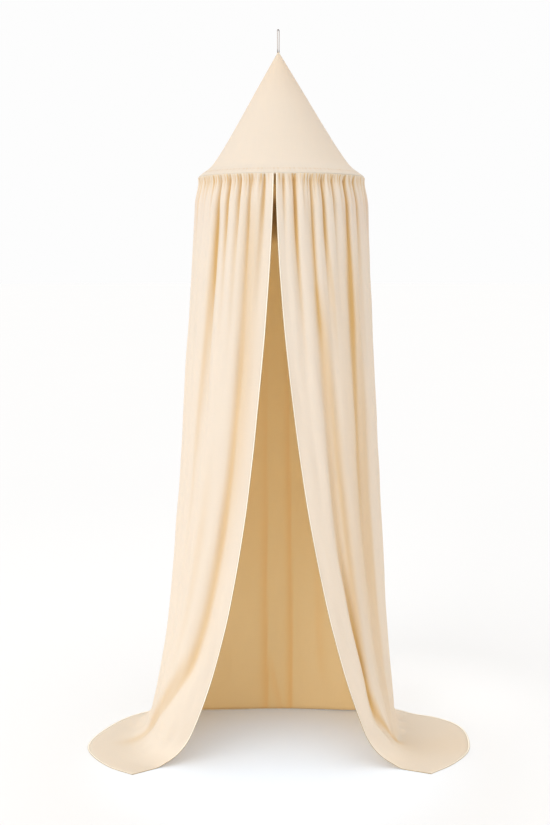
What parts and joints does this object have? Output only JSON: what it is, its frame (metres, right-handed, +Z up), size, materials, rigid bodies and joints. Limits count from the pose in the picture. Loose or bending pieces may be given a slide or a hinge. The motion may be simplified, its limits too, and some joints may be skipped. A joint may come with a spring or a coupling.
{
  "type": "hanging bed canopy of cotton cloth with its hoop and hanging loop",
  "caption": "Cone-topped bed canopy of plain cream cotton on a round hoop, with a gathered skirt open at the front, hung by a cord loop.",
  "frame": {"origin": "top of the hanging loop, where a ceiling hook holds it; the floor is 2.615 m below", "axes": "+Z up; the open front faces -Y; +X is to the right seen from the front"},
  "size_m": [1.3955, 0.6312, 2.615],
  "materials": {
    "cotton_cloth": "plain weave, matt",
    "grey_cord": "twisted cord, matt",
    "hoop_tube": "matt, plain"
  },
  "bodies": {
    "root": {"hanging_loop": "grey_cord", "cone": "cotton_cloth", "hoop": "hoop_tube", "skirt": "cotton_cloth"}
  },
  "joints": []
}
